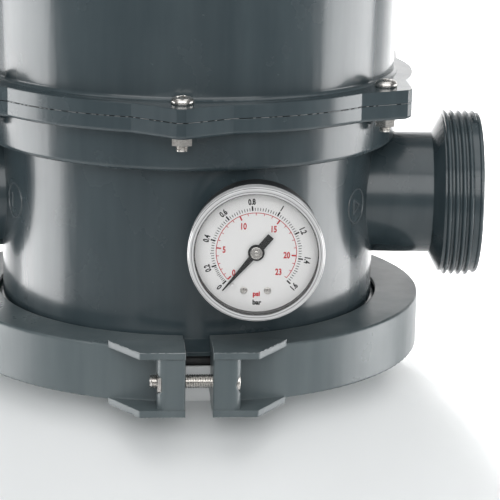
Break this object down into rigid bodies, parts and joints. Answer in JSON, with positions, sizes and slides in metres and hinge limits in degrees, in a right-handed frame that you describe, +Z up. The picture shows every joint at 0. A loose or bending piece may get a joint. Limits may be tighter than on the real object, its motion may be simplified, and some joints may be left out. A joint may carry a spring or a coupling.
{
  "type": "sand filter tank",
  "caption": "Round sand filter tank with a clamped top-mount multiport valve, lever selector, threaded side ports, pressure gauge, foot ring and drain.",
  "frame": {"origin": "middle of the footprint on the floor", "axes": "+Z up along the tank's axis; -Y is the front, with one bolt ear exactly at the front; the gauge faces straight forward, 31 mm to the right of it, and the ports are at +X, -X and +Y"},
  "size_m": [0.4, 0.4, 0.7539],
  "materials": {
    "tank_plastic": "smooth blow-moulded gloss",
    "base_plastic": "fine moulded texture",
    "seal_rubber": "matt",
    "valve_plastic": "high gloss moulded ABS",
    "plate_face": "printed satin label",
    "screw_steel": "bright stainless",
    "rotor_plastic": "moulded",
    "spring_steel": "drawn wire",
    "washer_plastic": "natural nylon",
    "handle_plastic": "moulded ABS",
    "gauge_brass": "machined",
    "gauge_black": "moulded black",
    "gauge_bezel_clear": "clear polycarbonate rim",
    "gauge_lens_clear": "clear polycarbonate",
    "dial_white": "printed white",
    "pointer_black": "satin black paint",
    "clamp_plastic": "satin moulded nylon",
    "pipe_plastic": "extruded PVC",
    "underdrain_plastic": "moulded ABS"
  },
  "bodies": {
    "filter": {"tank_shell": "tank_plastic", "tank_base": "base_plastic", "neck_o_ring": "seal_rubber", "valve_body": "valve_plastic", "spider_gasket": "seal_rubber", "valve_cover": "valve_plastic", "position_plate": "plate_face", "cover_o_ring": "seal_rubber", "cover_screws": "screw_steel", "cover_nuts": "screw_steel", "gauge_stem": "gauge_brass", "gauge_stem_seal": "washer_plastic", "gauge_case": "gauge_black", "gauge_bezel": "gauge_bezel_clear", "gauge_lens": "gauge_lens_clear", "gauge_dial": "dial_white", "gauge_dial_screws": "screw_steel", "gauge_movement": "gauge_brass", "bourdon_tube": "gauge_brass", "clamp_left": "clamp_plastic", "clamp_nut_front": "screw_steel", "standpipe": "pipe_plastic", "lateral_hub": "underdrain_plastic", "laterals": "underdrain_plastic", "top_diffuser": "underdrain_plastic", "drain_spigot": "base_plastic", "drain_seal": "seal_rubber", "drain_strainer": "underdrain_plastic", "spring_washer": "washer_plastic"},
    "selector": {"slip_washer": "washer_plastic"},
    "rotor": {"rotor": "rotor_plastic", "stem_o_rings": "seal_rubber", "rotor_spring": "spring_steel", "handle_pin": "screw_steel"},
    "handle": {"handle": "handle_plastic"},
    "gauge_needle": {"gauge_pointer": "pointer_black"},
    "gauge_gear": {"gauge_sector": "gauge_brass"},
    "clamp_half": {"clamp_right": "clamp_plastic", "clamp_nut_back": "screw_steel"},
    "front_screw": {"clamp_screw_front": "screw_steel"},
    "back_screw": {"clamp_screw_back": "screw_steel"},
    "drain_washer": {"drain_gasket": "seal_rubber"},
    "drain_cap": {"drain_cap": "base_plastic"}
  },
  "joints": [
    {"name": "selector_turn", "type": "hinge", "parent": "filter", "child": "selector", "pos_m": [0, 0, 0.683], "axis": [0, 0, 1], "continuous": true},
    {"name": "rotor_lift", "type": "slide", "parent": "selector", "child": "rotor", "axis": [0, 0, 1], "range_m": [0, 0.004], "stiffness_N_per_m": 400, "springref_m": -0.004, "deforming": ["rotor_spring"]},
    {"name": "handle_tilt", "type": "hinge", "parent": "rotor", "child": "handle", "pos_m": [0, 0, 0.692], "axis": [1, 0, 0], "range_deg": [0, 18]},
    {"name": "gauge_pointer_turn", "type": "hinge", "parent": "filter", "child": "gauge_needle", "pos_m": [0.0307, -0.11, 0.562], "axis": [0, 1, 0], "range_deg": [0, 272]},
    {"name": "gauge_sector_turn", "type": "hinge", "parent": "filter", "child": "gauge_gear", "pos_m": [0.0307, -0.103, 0.547], "axis": [0, 1, 0], "range_deg": [-31, 0.5]},
    {"name": "clamp_open", "type": "slide", "parent": "filter", "child": "clamp_half", "axis": [0.9973, 0.0732, 0], "range_m": [0, 0.008]},
    {"name": "clamp_screw_front_turn", "type": "hinge", "parent": "clamp_half", "child": "front_screw", "pos_m": [0.00809, -0.1102, 0.5074], "axis": [0.9973, 0.0732, 0], "range_deg": [0, 2900]},
    {"name": "clamp_screw_back_turn", "type": "hinge", "parent": "filter", "child": "back_screw", "pos_m": [-0.00809, 0.1102, 0.5074], "axis": [-0.9973, -0.0732, 0], "range_deg": [0, 2900]},
    {"name": "drain_cap_travel", "type": "slide", "parent": "filter", "child": "drain_washer", "axis": [0, -1, 0], "range_m": [0, 0.012]},
    {"name": "drain_cap_turn", "type": "hinge", "parent": "drain_washer", "child": "drain_cap", "pos_m": [0, -0.19, 0.092], "axis": [0, -1, 0], "range_deg": [0, 1090]}
  ],
  "couplings": [
    {"joint": "rotor_lift", "follows": "handle_tilt", "m_per_rad": 0.012731},
    {"joint": "gauge_sector_turn", "follows": "gauge_pointer_turn", "ratio": -0.11111},
    {"joint": "clamp_screw_front_turn", "follows": "clamp_open", "rad_per_m": 6283.2},
    {"joint": "clamp_screw_back_turn", "follows": "clamp_open", "rad_per_m": 6283.2},
    {"joint": "drain_cap_turn", "follows": "drain_cap_travel", "rad_per_m": 1570.8}
  ]
}
